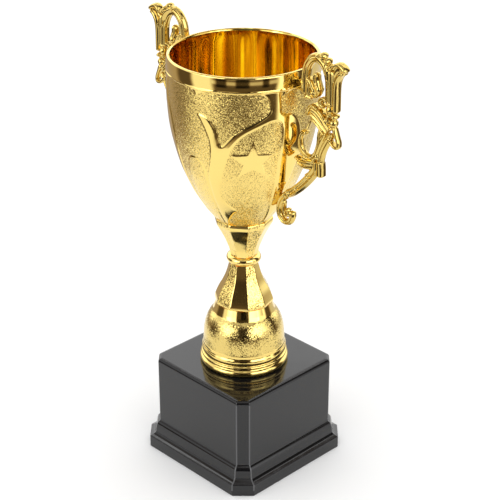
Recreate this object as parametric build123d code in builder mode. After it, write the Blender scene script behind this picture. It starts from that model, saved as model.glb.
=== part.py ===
"""Award cup: a metallised plastic bowl with two scroll handles, on a faceted stem, a bell foot and a
hollow square plinth, all drawn together by one long tie rod. Millimetres, +Z up. The origin is the
centre of the plinth's footprint on the table. The handles lie along X, and the cup's front is -Y.
"""
from build123d import *
import math
import os

os.makedirs("parts", exist_ok=True)

# Plinth: a hollow moulding, square with clipped corners
plinth_width = 90.0
plinth_corner = 9.0
plinth_top = 60.5
plinth_body_inset = 6.25
plinth_body_start = 17.8
plinth_edge_radius = 2.2
plinth_wall = 2.4
plinth_roof = 3.0
cover_thickness = 1.6
cover_recess = 0.8
cover_inset = plinth_wall + 0.4
cover_boss_place = 27.0
cover_boss_radius = 3.6
cover_boss_end = 16.0
screw_radius = 1.4
screw_head_radius = 2.8
screw_head_height = 1.2
screw_length = 8.0

# Tie rod and its hardware, M6
rod_radius = 3.0
rod_hole_radius = 3.3
nut_width = 10.0
nut_height = 5.0
washer_radius = 9.0
washer_thickness = 1.6
rod_overhang = 2.5

# Ballast: a cast block held up under the plinth's roof by the tie rod
ballast_width = 54.0
ballast_height = 26.0

# Bell foot
foot_radius = 26.2
foot_top = 99.5
foot_wall = 1.8

# Faceted stem: ten flats, with an arris on each handle's side
facet_count = 10
collar_start = 124.5
collar_end = 130.0
collar_radius = 10.0
stem_top = 154.0
stem_wall = 1.8
stem_web = 2.2

# Bowl
bowl_seat = 150.0
bowl_floor = 153.0
bowl_spigot_radius = 12.8
rim_height = 250.5
rim_radius = 41.4
bowl_wall = 2.2

# Handles: flat scroll castings, pegged into the bowl's wall
handle_thickness = 4.8
shaft_thickness = 7.0
peg_radius = 1.6
peg_root = 4.0
peg_gap = 0.1
upper_peg_height = 244.0
upper_peg_end = 40.4
lower_peg_height = 173.8
lower_peg_end = 28.1
handle_gap = 0.05


def clipped_square(inset):
    """The plinth's outline, moved in from the flange by inset."""
    side = plinth_width - 2 * inset
    corner = plinth_corner - (2 - math.sqrt(2)) * inset
    Rectangle(side, side)
    chamfer(vertices(), length=corner)


# ---- plinth -----------------------------------------------------------------------------------
# (height, inset) up the flange: upright face, eased edge, sloping ledge, cove, and the body's foot
plinth_moulding = [(0, 0), (7.2, 0), (7.9, 0.5), (9.6, 3.4), (11.0, 4.1), (13.6, 4.7), (16.3, 5.4)]

with BuildPart() as plinth:
    for height, inset in plinth_moulding + [(plinth_body_start, plinth_body_inset)]:
        with BuildSketch(Plane.XY.offset(height)):
            clipped_square(inset)
    loft(ruled=True)
    with BuildSketch(Plane.XY.offset(plinth_body_start)):
        clipped_square(plinth_body_inset)
    extrude(amount=plinth_top - plinth_body_start)
    fillet(faces().sort_by(Axis.Z)[-1].edges(), radius=plinth_edge_radius)
    # hollow: a wide mouth behind the flange, then the body's inside up to the roof
    with BuildSketch():
        clipped_square(plinth_wall)
    extrude(amount=7.0, mode=Mode.SUBTRACT)
    with BuildSketch():
        clipped_square(plinth_body_inset + plinth_wall)
    extrude(amount=plinth_top - plinth_roof, mode=Mode.SUBTRACT)
    # corner bosses that the base cover is screwed to
    with BuildSketch(Plane.XY.offset(cover_recess + cover_thickness)):
        with GridLocations(2 * cover_boss_place, 2 * cover_boss_place, 2, 2):
            Circle(cover_boss_radius)
    extrude(until=Until.NEXT)
    with Locations(Plane.XY.offset(cover_recess + cover_thickness)):
        with GridLocations(2 * cover_boss_place, 2 * cover_boss_place, 2, 2):
            Cylinder(
                screw_radius,
                cover_boss_end,
                align=(Align.CENTER, Align.CENTER, Align.MIN),
                mode=Mode.SUBTRACT,
            )
    Cylinder(rod_hole_radius, 2 * plinth_top, mode=Mode.SUBTRACT)
plinth.part.label = "plinth"
export_step(plinth.part, "parts/plinth.step")

# ---- base cover and its screws ------------------------------------------------------------------
with BuildPart() as base_cover:
    with BuildSketch(Plane.XY.offset(cover_recess)):
        clipped_square(cover_inset)
    extrude(amount=cover_thickness)
    with Locations(Plane.XY.offset(cover_recess)):
        with GridLocations(2 * cover_boss_place, 2 * cover_boss_place, 2, 2):
            Cylinder(screw_radius + 0.2, 4 * cover_thickness, mode=Mode.SUBTRACT)
base_cover.part.label = "base_cover"
export_step(base_cover.part, "parts/base_cover.step")

with BuildPart() as cover_screws:
    with BuildSketch(Plane.XY.offset(cover_recess)):
        with GridLocations(2 * cover_boss_place, 2 * cover_boss_place, 2, 2):
            Circle(screw_head_radius)
    extrude(amount=-0.6 * screw_head_height)
    with BuildSketch(Plane.XY.offset(cover_recess)):
        with GridLocations(2 * cover_boss_place, 2 * cover_boss_place, 2, 2):
            Circle(screw_radius)
    extrude(amount=screw_length)
cover_screws.part.label = "cover_screws"
export_step(cover_screws.part, "parts/cover_screws.step")

# ---- ballast, tie rod, nuts and washers -----------------------------------------------------------
ballast_base = plinth_top - plinth_roof - ballast_height
lower_washer_base = ballast_base - washer_thickness
lower_nut_base = lower_washer_base - nut_height
upper_nut_base = bowl_floor + washer_thickness
rod_bottom = lower_nut_base - rod_overhang
rod_top = upper_nut_base + nut_height + rod_overhang

with BuildPart() as ballast:
    with BuildSketch(Plane.XY.offset(ballast_base)):
        Rectangle(ballast_width, ballast_width)
        chamfer(vertices(), length=12.0)
    extrude(amount=ballast_height)
    fillet(faces().sort_by(Axis.Z)[0].edges(), radius=2.0)
    Cylinder(rod_hole_radius, 2 * plinth_top, mode=Mode.SUBTRACT)
ballast.part.label = "ballast"
export_step(ballast.part, "parts/ballast.step")

with BuildPart() as tie_rod:
    with BuildSketch(Plane.XY.offset(rod_bottom)):
        Circle(rod_radius)
    extrude(amount=rod_top - rod_bottom)
    chamfer(edges().filter_by(GeomType.CIRCLE), length=0.7)
tie_rod.part.label = "tie_rod"
export_step(tie_rod.part, "parts/tie_rod.step")

for place, nut_base, washer_base in (
    ("lower", lower_nut_base, lower_washer_base),
    ("upper", upper_nut_base, bowl_floor),
):
    with BuildPart() as nut:
        with BuildSketch(Plane.XY.offset(nut_base)):
            RegularPolygon(nut_width / 2, 6, major_radius=False)
            Circle(rod_radius, mode=Mode.SUBTRACT)
        extrude(amount=nut_height)
    nut.part.label = place + "_nut"
    export_step(nut.part, "parts/" + place + "_nut.step")

    with BuildPart() as washer:
        with BuildSketch(Plane.XY.offset(washer_base)):
            Circle(washer_radius)
            Circle(rod_hole_radius, mode=Mode.SUBTRACT)
        extrude(amount=washer_thickness)
    washer.part.label = place + "_washer"
    export_step(washer.part, "parts/" + place + "_washer.step")

# ---- bell foot ------------------------------------------------------------------------------------
foot_band_top = 71.0
foot_inside_top = 95.5
foot_inside_radius = 14.0
# (radius, height) up the bell's outside, from the polished band to under the neck
foot_outside = [(24.4, foot_band_top), (23.8, 78), (22.6, 86), (19.6, 92), (17.3, 95.5)]

with BuildPart() as foot:
    with BuildSketch(Plane.XZ):
        with BuildLine():
            base = Line((0, plinth_top), (foot_radius - 2.1, plinth_top))
            bead = RadiusArc(base @ 1, (25.0, plinth_top + 4.4), -2.3)
            step = RadiusArc(bead @ 1, (24.6, plinth_top + 7.2), -1.6)
            band = Line(step @ 1, foot_outside[0])
            bell = Polyline(*foot_outside)
            neck = Line(bell @ 1, (15.6, foot_top))
            Polyline(neck @ 1, (0, foot_top), (0, plinth_top))
        make_face()
    revolve(axis=Axis.Z)
    with BuildSketch(Plane.XZ):
        with BuildLine():
            mouth = Line((0, plinth_top), (foot_outside[0][0] - foot_wall, plinth_top))
            inside = Polyline(mouth @ 1, (21.9, 80), (19.6, 88), (foot_inside_radius, foot_inside_top))
            Polyline(inside @ 1, (0, foot_inside_top), (0, plinth_top))
        make_face()
    revolve(axis=Axis.Z, mode=Mode.SUBTRACT)
    Cylinder(rod_hole_radius, 3 * foot_top, mode=Mode.SUBTRACT)
foot.part.label = "foot"
export_step(foot.part, "parts/foot.step")


# ---- lower stem: a faceted skirt that flares down over the foot ------------------------------------
skirt_sections = [
    (foot_top, 16.4),
    (101.0, 16.9),
    (104.0, 17.2),
    (108.0, 15.0),
    (113.0, 12.4),
    (118.5, 10.2),
    (collar_start, 8.8),
]
skirt_bore = [(foot_top, 14.0), (106.0, 12.2), (116.0, 8.2)]

with BuildPart() as stem_skirt:
    for height, radius in skirt_sections:
        with BuildSketch(Plane.XY.offset(height)):
            RegularPolygon(radius, facet_count)
    loft(ruled=True)
    for height, radius in skirt_bore:
        with BuildSketch(Plane.XY.offset(height)):
            Circle(radius)
    loft(ruled=True, mode=Mode.SUBTRACT)
    Cylinder(rod_hole_radius, 3 * stem_top, mode=Mode.SUBTRACT)
stem_skirt.part.label = "stem_skirt"
export_step(stem_skirt.part, "parts/stem_skirt.step")

# ---- collar ring -----------------------------------------------------------------------------------
with BuildPart() as stem_collar:
    with BuildSketch(Plane.XZ):
        with BuildLine():
            middle = (collar_start + collar_end) / 2
            Polyline((8.0, collar_end), (rod_hole_radius, collar_end),
                     (rod_hole_radius, collar_start), (8.0, collar_start))
            ThreePointArc((8.0, collar_start), (collar_radius, middle), (8.0, collar_end))
        make_face()
    revolve(axis=Axis.Z)
stem_collar.part.label = "stem_collar"
export_step(stem_collar.part, "parts/stem_collar.step")

# ---- upper stem: a faceted funnel that the bowl sits in --------------------------------------------
funnel_sections = [
    (collar_end, 8.5),
    (133.0, 8.8),
    (136.5, 9.9),
    (141.0, 11.7),
    (145.6, 13.9),
    (148.5, 15.7),
    (150.5, 16.7),
    (stem_top, 16.9),
]
funnel_bore = [(collar_end, 6.4), (137.0, 7.2), (bowl_seat - stem_web, 11.4)]

with BuildPart() as stem_funnel:
    for height, radius in funnel_sections:
        with BuildSketch(Plane.XY.offset(height)):
            RegularPolygon(radius, facet_count)
    loft(ruled=True)
    with BuildSketch(Plane.XY.offset(bowl_seat)):
        Circle(bowl_spigot_radius + peg_gap)
    extrude(amount=stem_top - bowl_seat, mode=Mode.SUBTRACT)
    for height, radius in funnel_bore:
        with BuildSketch(Plane.XY.offset(height)):
            Circle(radius)
    loft(ruled=True, mode=Mode.SUBTRACT)
    Cylinder(rod_hole_radius, 3 * stem_top, mode=Mode.SUBTRACT)
stem_funnel.part.label = "stem_funnel"
export_step(stem_funnel.part, "parts/stem_funnel.step")

# ---- bowl ------------------------------------------------------------------------------------------
# (radius, height) up the outside in short straight runs, from the funnel's lip to the rim band
bowl_outside = [
    (16.2, stem_top),
    (24.7, 166),
    (32.0, 180),
    (37.6, 196),
    (41.2, 213),
    (42.0, 228),
    (rim_radius, rim_height),
]
# and down the inside, from the rim to the edge of the floor
bowl_inside = [
    (rim_radius - bowl_wall, rim_height),
    (39.8, 228),
    (39.0, 213.3),
    (35.5, 197),
    (30.0, 181.3),
    (22.7, 167.2),
    (11.5, bowl_floor),
]
lip_radius = 0.9

with BuildPart() as bowl_envelope:
    with BuildSketch(Plane.XZ):
        with BuildLine():
            Polyline(
                (0, rim_height),
                (0, bowl_seat),
                (bowl_spigot_radius, bowl_seat),
                (bowl_spigot_radius, stem_top),
                *bowl_outside,
                close=True,
            )
        make_face()
    revolve(axis=Axis.Z)

with BuildPart() as bowl:
    add(bowl_envelope.part)
    with BuildSketch(Plane.XZ):
        with BuildLine():
            Polyline((0, rim_height), *bowl_inside, (0, bowl_floor), close=True)
        make_face()
    revolve(axis=Axis.Z, mode=Mode.SUBTRACT)
    fillet(edges().group_by(Axis.Z)[-1], radius=lip_radius)
    Cylinder(rod_hole_radius, 3 * rim_height, mode=Mode.SUBTRACT)
    # blind sockets for the handles' pegs
    for side in (-1, 1):
        for height, reach in ((upper_peg_height, upper_peg_end), (lower_peg_height, lower_peg_end)):
            start = side * (reach - peg_gap)
            socket = Plane(origin=(start, 0, height), x_dir=(0, 1, 0), z_dir=(side, 0, 0))
            with BuildSketch(socket):
                Circle(peg_radius + peg_gap)
            extrude(amount=6.0, mode=Mode.SUBTRACT)
bowl.part.label = "bowl"
export_step(bowl.part, "parts/bowl.step")

# the space that the handles' feet are hollowed to, a hair clear of the bowl's wall
with BuildPart() as bowl_clearance:
    with BuildSketch(Plane.XZ):
        with BuildLine():
            wall_line = [(radius + handle_gap, height) for radius, height in bowl_outside]
            Polyline((0, rim_height), (0, stem_top), *wall_line, close=True)
        make_face()
    revolve(axis=Axis.Z)

# ---- handles ---------------------------------------------------------------------------------------
# Bands of scrollwork: each is a middle line, as (distance from the cup's axis, height), and a width
hook_band = [
    (46.8, 240.5), (47.0, 250), (48.2, 256), (51.5, 260.4), (55.5, 261.8), (60, 259.6), (62.8, 254.5),
]
hook_curl = [(48.5, 241.5), (52.5, 240.6), (55.3, 243.8), (54.6, 248), (54.8, 252.6)]
inner_stem = [(60.0, 226.5), (57.6, 220), (57.0, 213), (54.6, 207), (50.5, 203.2)]
outer_stem = [(66.2, 222.5), (62.6, 216), (59.4, 210), (57.6, 204), (58.0, 197.8)]
c_scroll = [(46.6, 217.6), (43.7, 213), (44.0, 208), (47.0, 204.6), (51.5, 204), (56.0, 207)]
lower_stem = [(56.5, 200), (50.8, 192.6), (45.2, 186.2), (39.4, 180.8), (33.6, 177.2)]
volute = [
    (36.0, 178.4), (30.2, 174), (28.7, 167.5), (31.0, 161.9), (35.4, 161.4), (38.4, 165.4), (36.8, 169.4),
]

with BuildPart() as handle_right:
    with BuildSketch(Plane.XZ):
        for route, width in (
            (hook_band, 5.2),
            (hook_curl, 3.8),
            (inner_stem, 3.6),
            (outer_stem, 3.8),
            (c_scroll, 3.0),
            (lower_stem, 5.0),
            (volute, 4.0),
        ):
            with BuildLine():
                Spline(*route)
            trace(line_width=width)
        # foot of the upper leg, against the bowl
        with Locations((44.0, upper_peg_height)):
            Rectangle(7.0, 7.0)
        # leaf on the C scroll's foot, and the square end of the outer stem
        with BuildLine():
            Polyline((41.2, 203.0), (44.2, 198.8), (50.5, 199.4), (54.5, 196.4), (57.2, 195.3),
                     (60.5, 196.6), (60.4, 202.8), (55.0, 204.6), (46.0, 205.4), close=True)
        make_face()
    extrude(amount=handle_thickness / 2, both=True)
    with BuildSketch(Plane.XZ):
        # shaft, flaring out to a trumpet tip
        with BuildLine():
            Polyline((62.0, 233.0), (69.0, 233.0), (69.0, 250.5))
            Spline((69.0, 250.5), (70.6, 255.4), (74.8, 258.6))
            Line((74.8, 258.6), (74.2, 261.4))
            Spline((74.2, 261.4), (69.6, 262.6), (65.6, 259.8), (62.0, 260.5))
            Line((62.0, 260.5), (62.0, 233.0))
        make_face()
        # knot under the shaft, its leaf, the ball beside it and the thorn below it
        with Locations((65.5, 229.5)):
            Ellipse(4.6, 6.2)
        with BuildLine():
            Spline((66.0, 224.5), (60.0, 226.5), (50.0, 227.6), (51.4, 233.2),
                   (54.4, 235.6), (60.5, 232.6), (66.0, 230.5))
            Line((66.0, 230.5), (66.0, 224.5))
        make_face()
        with Locations((59.6, 237.6)):
            Ellipse(3.4, 2.4)
        with BuildLine():
            Polyline((64.5, 226.0), (69.4, 224.5), (71.8, 218.6), (71.0, 215.2), (67.0, 215.2),
                     (63.0, 219.0), close=True)
        make_face()
        # bead and leaves on the hook's crown
        with Locations((58.6, 262.4)):
            Ellipse(4.6, 2.9)
    extrude(amount=shaft_thickness / 2, both=True)
    add(bowl_clearance.part, mode=Mode.SUBTRACT)
    for height, reach in ((upper_peg_height, upper_peg_end), (lower_peg_height, lower_peg_end)):
        with BuildSketch(Plane(origin=(reach, 0, height), x_dir=(0, 1, 0), z_dir=(1, 0, 0))):
            Circle(peg_radius)
        extrude(amount=peg_root)
handle_right.part.label = "handle_right"
export_step(handle_right.part, "parts/handle_right.step")

with BuildPart() as handle_left:
    add(mirror(handle_right.part, about=Plane.YZ))
handle_left.part.label = "handle_left"
export_step(handle_left.part, "parts/handle_left.step")
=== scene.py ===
"""Award cup: a gold-metallised plastic bowl with two scroll handles, on a faceted stem, a bell foot
and a glossy black plinth. Metres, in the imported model's frame: the handles lie along X and the front
is -Y. The sections follow the cup as it is put together, from the plinth up.
"""
import math
import bmesh
import bpy
import numpy as np
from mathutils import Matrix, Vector


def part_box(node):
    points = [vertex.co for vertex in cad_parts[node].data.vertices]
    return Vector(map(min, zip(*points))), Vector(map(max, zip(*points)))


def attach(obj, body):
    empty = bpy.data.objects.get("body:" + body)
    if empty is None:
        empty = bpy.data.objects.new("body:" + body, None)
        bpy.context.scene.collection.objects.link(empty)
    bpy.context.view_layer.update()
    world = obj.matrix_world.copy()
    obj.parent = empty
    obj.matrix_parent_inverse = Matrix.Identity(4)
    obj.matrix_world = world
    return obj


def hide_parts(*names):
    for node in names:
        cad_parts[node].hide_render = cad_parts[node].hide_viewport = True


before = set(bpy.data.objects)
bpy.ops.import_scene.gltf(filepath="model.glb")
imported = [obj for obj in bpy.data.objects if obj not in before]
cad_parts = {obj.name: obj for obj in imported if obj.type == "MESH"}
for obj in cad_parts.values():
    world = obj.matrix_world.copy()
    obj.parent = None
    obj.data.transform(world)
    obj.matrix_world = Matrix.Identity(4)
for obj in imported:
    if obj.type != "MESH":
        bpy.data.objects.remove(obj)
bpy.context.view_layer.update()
MM = 0.001


# ==== Plinth ==========================================================================================
# A hollow square moulding with clipped corners in glossy black polystyrene. It stands on its flange;
# a cove runs from the flange's sloping ledge up to the body, and the roof's edge is eased all round.

def tidy_mesh(name, verts, faces, sharp_degrees=None):
    """A mesh object from points and faces, smooth-shaded, with outward normals."""
    mesh = bpy.data.meshes.new(name)
    mesh.from_pydata([tuple(v) for v in verts], [], faces)
    work = bmesh.new()
    work.from_mesh(mesh)
    bmesh.ops.recalc_face_normals(work, faces=work.faces)
    work.to_mesh(mesh)
    work.free()
    mesh.shade_smooth()
    if sharp_degrees:
        mesh.set_sharp_from_angle(angle=math.radians(sharp_degrees))
    piece = bpy.data.objects.new(name, mesh)
    bpy.context.scene.collection.objects.link(piece)
    return piece


def skin_rings(rings, close_start=True, close_end=True):
    """Points and faces of a skin stretched over closed rings that all have the same number of points."""
    count = len(rings[0])
    verts = [point for ring in rings for point in ring]
    faces = []
    for row in range(len(rings) - 1):
        for step in range(count):
            after = (step + 1) % count
            low = row * count
            faces.append((low + step, low + after, low + count + after, low + count + step))
    if close_start:
        faces.append(tuple(reversed(range(count))))
    if close_end:
        faces.append(tuple(range((len(rings) - 1) * count, len(rings) * count)))
    return verts, faces


def even_normals(piece):
    """Keeps broad faces flat to the eye beside their narrow eased edges."""
    weighted = piece.modifiers.new("even_normals", "WEIGHTED_NORMAL")
    weighted.keep_sharp = True
    weighted.weight = 100


def arc_points(centre, radius, start, end, steps):
    """Points on an arc in a section, from start to end degrees."""
    points = []
    for step in range(steps + 1):
        angle = math.radians(start + (end - start) * step / steps)
        points.append((centre[0] + radius * math.cos(angle), centre[1] + radius * math.sin(angle)))
    return points


plinth_low, plinth_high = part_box("plinth")
plinth_width = plinth_high.x - plinth_low.x
plinth_corner = 9.0 * MM
least_corner = 0.2 * MM
arris = 0.45 * MM
arris_steps = 4


def clipped_ring(inset, height):
    """The plinth's outline at a height, moved in by inset, with its eight arrises eased."""
    half = plinth_width / 2 - inset
    corner = max(plinth_corner - (2 - math.sqrt(2)) * inset, least_corner)
    ease = min(arris, corner / 3)
    outline = []
    for quarter in range(4):
        turn = quarter * math.pi / 2
        for x, y in ((half, half - corner), (half - corner, half)):
            outline.append(Vector((x * math.cos(turn) - y * math.sin(turn),
                                   x * math.sin(turn) + y * math.cos(turn))))
    ring = []
    for place, point in enumerate(outline):
        before = (outline[place - 1] - point).normalized() * ease
        after = (outline[(place + 1) % 8] - point).normalized() * ease
        for step in range(arris_steps + 1):
            t = step / arris_steps
            eased = point + before * (1 - t) ** 2 + after * t ** 2
            ring.append((eased.x, eased.y, height))
    return ring


# The section from under the flange up to the roof, as (inset, height) in millimetres. The cove and the
# roof's eased edge are quarter ovals.
cove_inset = 3.6
cove_foot = 9.9
cove_reach = 2.25
cove_rise = 6.9
wall_inset = 6.25
roof_height = 60.5
roof_ease = 2.4
quarter_turn = [math.pi / 2 * step / 8 for step in range(9)]
plinth_section = [(2.4, 7.0), (2.4, 0.3), (2.1, 0), (0.3, 0), (0, 0.3), (0, 3.6), (0, 7.0), (0.12, 7.45),
                  (0.45, 7.75)]
plinth_section += [(1.5, 8.2), (2.7, 8.9), (3.35, 9.5), (cove_inset, cove_foot)]
plinth_section += [(cove_inset + cove_reach * (1 - math.cos(t)), cove_foot + cove_rise * math.sin(t))
                   for t in quarter_turn[1:]]
plinth_section += [(6.0, 17.1), (wall_inset, 17.8), (wall_inset, 18.4), (wall_inset, 38.0),
                   (wall_inset, 57.8)]
plinth_section += [(wall_inset + roof_ease * (1 - math.cos(t)), roof_height - roof_ease * (1 - math.sin(t)))
                   for t in quarter_turn]
plinth_section += [(9.2, roof_height), (10.5, roof_height), (24.0, roof_height)]
plinth_rings = [clipped_ring(inset * MM, height * MM) for inset, height in plinth_section]
plinth_piece = tidy_mesh("plinth_shell", *skin_rings(plinth_rings), sharp_degrees=50)
even_normals(plinth_piece)


def new_material(name, colour, metallic, roughness):
    """A material with a Principled shader; returns the material, its nodes and links, and the shader."""
    material = bpy.data.materials.new(name)
    material.use_nodes = True
    nodes = material.node_tree.nodes
    shader = nodes["Principled BSDF"]
    shader.inputs["Base Color"].default_value = (*colour, 1)
    shader.inputs["Metallic"].default_value = metallic
    shader.inputs["Roughness"].default_value = roughness
    return material, nodes, material.node_tree.links, shader


def add_node(nodes, kind, **values):
    """A shader node with some of its inputs set."""
    node = nodes.new(kind)
    for key, value in values.items():
        node.inputs[key.replace("_", " ")].default_value = value
    return node


def add_maths(nodes, operation, kind="ShaderNodeMath"):
    """A maths node for one operation, on numbers or on vectors."""
    node = nodes.new(kind)
    node.operation = operation
    return node


def add_group(nodes, group, **values):
    """A placed node group with some of its inputs set."""
    node = nodes.new("ShaderNodeGroup")
    node.node_tree = group
    for key, value in values.items():
        node.inputs[key.replace("_", " ")].default_value = value
    return node


def new_group(name, ins, outs):
    """An empty shader node group with named sockets; returns it, its nodes and links, and its two ends."""
    group = bpy.data.node_groups.new(name, "ShaderNodeTree")
    for label, kind, default in ins:
        socket = group.interface.new_socket(label, in_out="INPUT", socket_type="NodeSocket" + kind)
        socket.default_value = default
    for label, kind in outs:
        group.interface.new_socket(label, in_out="OUTPUT", socket_type="NodeSocket" + kind)
    start = group.nodes.new("NodeGroupInput")
    end = group.nodes.new("NodeGroupOutput")
    return group, group.nodes, group.links, start, end


# Handling marks, shared by the black, the gold and the zinc: a slow waviness of the surface, and patches
# that are dulled by touch
handling, nodes, links, start, end = new_group(
    "handling_marks",
    [("Wave Scale", "Float", 60.0), ("Haze Scale", "Float", 90.0),
     ("Roughness", "Float", 0.1), ("Haze", "Float", 0.05)],
    [("Roughness", "Float"), ("Height", "Float")])
place = nodes.new("ShaderNodeTexCoord")
wave = add_node(nodes, "ShaderNodeTexNoise", Detail=1.0, Roughness=0.4)
haze = add_node(nodes, "ShaderNodeTexNoise", Detail=5.0, Roughness=0.65)
links.new(place.outputs["Object"], wave.inputs["Vector"])
links.new(place.outputs["Object"], haze.inputs["Vector"])
links.new(start.outputs["Wave Scale"], wave.inputs["Scale"])
links.new(start.outputs["Haze Scale"], haze.inputs["Scale"])
cut = add_node(nodes, "ShaderNodeMapRange", From_Min=0.42, From_Max=0.72)
links.new(haze.outputs["Fac"], cut.inputs["Value"])
spread = add_maths(nodes, "MULTIPLY_ADD")
links.new(cut.outputs["Result"], spread.inputs[0])
links.new(start.outputs["Haze"], spread.inputs[1])
links.new(start.outputs["Roughness"], spread.inputs[2])
links.new(spread.outputs[0], end.inputs["Roughness"])
links.new(wave.outputs["Fac"], end.inputs["Height"])


black_gloss, nodes, links, shader = new_material("black_gloss", (0.006, 0.006, 0.0065), 0.0, 0.06)
shader.inputs["IOR"].default_value = 1.53
marks = add_group(nodes, handling, Wave_Scale=45.0, Roughness=0.05, Haze=0.10)
bump = add_node(nodes, "ShaderNodeBump", Strength=0.05, Distance=0.0004)
links.new(marks.outputs["Roughness"], shader.inputs["Roughness"])
links.new(marks.outputs["Height"], bump.inputs["Height"])
links.new(bump.outputs["Normal"], shader.inputs["Normal"])
plinth_piece.data.materials.append(black_gloss)
# painted highlight: the eight upright arrises get a lighter, duller grey that stands in for the bright
# highlight lines along their edges
painted_arris_highlight, nodes, links, shader = new_material("painted_arris_highlight", (0.085, 0.085, 0.088), 0.0, 0.28)
plinth_piece.data.materials.append(painted_arris_highlight)
# painted highlight: the lighter grey goes on the arris faces between these heights in mm
arris_highlight_from = 3.0
arris_highlight_to = 58.0
plinth_row = 8 * (arris_steps + 1)
for face in plinth_piece.data.polygons[:plinth_row * (len(plinth_section) - 1)]:
    on_arris = face.index % (arris_steps + 1) < arris_steps
    height = plinth_section[face.index // plinth_row][1]
    if on_arris and arris_highlight_from < height < arris_highlight_to:
        face.material_index = 1
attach(plinth_piece, "root")
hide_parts("plinth")


# ==== Base cover, ballast, rod, nuts and washers ======================================================
# The working parts inside: a black sheet screwed under the plinth, a cast block, and a zinc-plated
# M6 rod with a nut and washer at each end. Their solids are right as they are and get their finishes.

def finish_nodes(material, *names):
    """Gives carried-over nodes their own finish."""
    for name in names:
        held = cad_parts[name]
        held.data.materials.clear()
        held.data.materials.append(material)


black_matt, nodes, links, shader = new_material("black_matt", (0.02, 0.02, 0.02), 0.0, 0.7)
grain = add_node(nodes, "ShaderNodeTexNoise", Scale=900.0, Detail=3.0)
place = nodes.new("ShaderNodeTexCoord")
bump = add_node(nodes, "ShaderNodeBump", Strength=0.4, Distance=0.0002)
links.new(place.outputs["Object"], grain.inputs["Vector"])
links.new(grain.outputs["Fac"], bump.inputs["Height"])
links.new(bump.outputs["Normal"], shader.inputs["Normal"])
finish_nodes(black_matt, "base_cover")

cast_ballast, nodes, links, shader = new_material("cast_ballast", (0.45, 0.43, 0.40), 0.0, 0.9)
grain = add_node(nodes, "ShaderNodeTexNoise", Scale=260.0, Detail=8.0)
place = nodes.new("ShaderNodeTexCoord")
shade = nodes.new("ShaderNodeValToRGB")
shade.color_ramp.elements[0].color = (0.30, 0.28, 0.26, 1)
shade.color_ramp.elements[1].color = (0.58, 0.56, 0.52, 1)
bump = add_node(nodes, "ShaderNodeBump", Strength=0.6, Distance=0.0005)
links.new(place.outputs["Object"], grain.inputs["Vector"])
links.new(grain.outputs["Fac"], shade.inputs["Fac"])
links.new(shade.outputs["Color"], shader.inputs["Base Color"])
links.new(grain.outputs["Fac"], bump.inputs["Height"])
links.new(bump.outputs["Normal"], shader.inputs["Normal"])
finish_nodes(cast_ballast, "ballast")

zinc_steel, nodes, links, shader = new_material("zinc_steel", (0.60, 0.61, 0.62), 1.0, 0.3)
marks = add_group(nodes, handling, Wave_Scale=300.0, Haze_Scale=500.0, Roughness=0.25, Haze=0.2)
links.new(marks.outputs["Roughness"], shader.inputs["Roughness"])
finish_nodes(zinc_steel, "cover_screws", "tie_rod", "upper_nut", "upper_washer", "lower_nut", "lower_washer")


# ==== Bell foot =======================================================================================
# A thin bell moulding in gold-metallised plastic. Polished rings step up from its rim, the bell itself
# is sand-grained in the mould, and a polished neck goes up under the stem's skirt.

def round_ring(radius, height, steps, first=0):
    """A level circle of points about Z, with its radius and height in millimetres."""
    angles = [2 * math.pi * (step + first) / steps for step in range(steps)]
    return [(radius * MM * math.cos(angle), radius * MM * math.sin(angle), height * MM) for angle in angles]


def turned(section, steps=192):
    """Points and faces of a ring-shaped body, turned about Z from its closed section of (radius, height)."""
    rings = [round_ring(radius, height, steps) for radius, height in section + section[:1]]
    return skin_rings(rings, close_start=False, close_end=False)


# The grain that is etched in the mould: fine facets, each tilted its own way
grained, nodes, links, start, end = new_group(
    "mould_grain",
    [("Size", "Float", 1200.0), ("Tilt", "Float", 0.3), ("Normal", "Vector", (0, 0, 0))],
    [("Normal", "Vector")])
place = nodes.new("ShaderNodeTexCoord")
facets = add_node(nodes, "ShaderNodeTexVoronoi", Randomness=1.0)
centred = add_maths(nodes, "SUBTRACT", "ShaderNodeVectorMath")
centred.inputs[1].default_value = (0.5, 0.5, 0.5)
tilted = add_maths(nodes, "SCALE", "ShaderNodeVectorMath")
leaning = add_maths(nodes, "ADD", "ShaderNodeVectorMath")
unit = add_maths(nodes, "NORMALIZE", "ShaderNodeVectorMath")
links.new(place.outputs["Object"], facets.inputs["Vector"])
links.new(start.outputs["Size"], facets.inputs["Scale"])
links.new(facets.outputs["Color"], centred.inputs[0])
links.new(centred.outputs["Vector"], tilted.inputs[0])
links.new(start.outputs["Tilt"], tilted.inputs["Scale"])
links.new(tilted.outputs["Vector"], leaning.inputs[0])
links.new(start.outputs["Normal"], leaning.inputs[1])
links.new(leaning.outputs["Vector"], unit.inputs[0])
links.new(unit.outputs["Vector"], end.inputs["Normal"])


def gold_finish(name, colour=(0.96, 0.72, 0.225), roughness=0.07, haze=0.05, wave=0.10,
                grain=0.0, grain_size=1200.0):
    """Gold metallising: the same bright metal, over a polished wall or over a grained one."""
    material, nodes, links, shader = new_material(name, colour, 1.0, roughness)
    marks = add_group(nodes, handling, Wave_Scale=55.0, Haze_Scale=150.0, Roughness=roughness, Haze=haze)
    swell = add_node(nodes, "ShaderNodeBump", Strength=wave, Distance=0.0006)
    links.new(marks.outputs["Roughness"], shader.inputs["Roughness"])
    links.new(marks.outputs["Height"], swell.inputs["Height"])
    if grain:
        etched = add_group(nodes, grained, Size=grain_size, Tilt=grain)
        links.new(swell.outputs["Normal"], etched.inputs["Normal"])
        links.new(etched.outputs["Normal"], shader.inputs["Normal"])
    else:
        links.new(swell.outputs["Normal"], shader.inputs["Normal"])
    return material


gold_polished = gold_finish("gold_polished")
gold_foot = gold_finish("gold_foot", colour=(0.90, 0.67, 0.21))
gold_grained = gold_finish("gold_grained", colour=(0.78, 0.59, 0.19), roughness=0.09,
                           grain=0.22, grain_size=2600.0)

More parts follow.
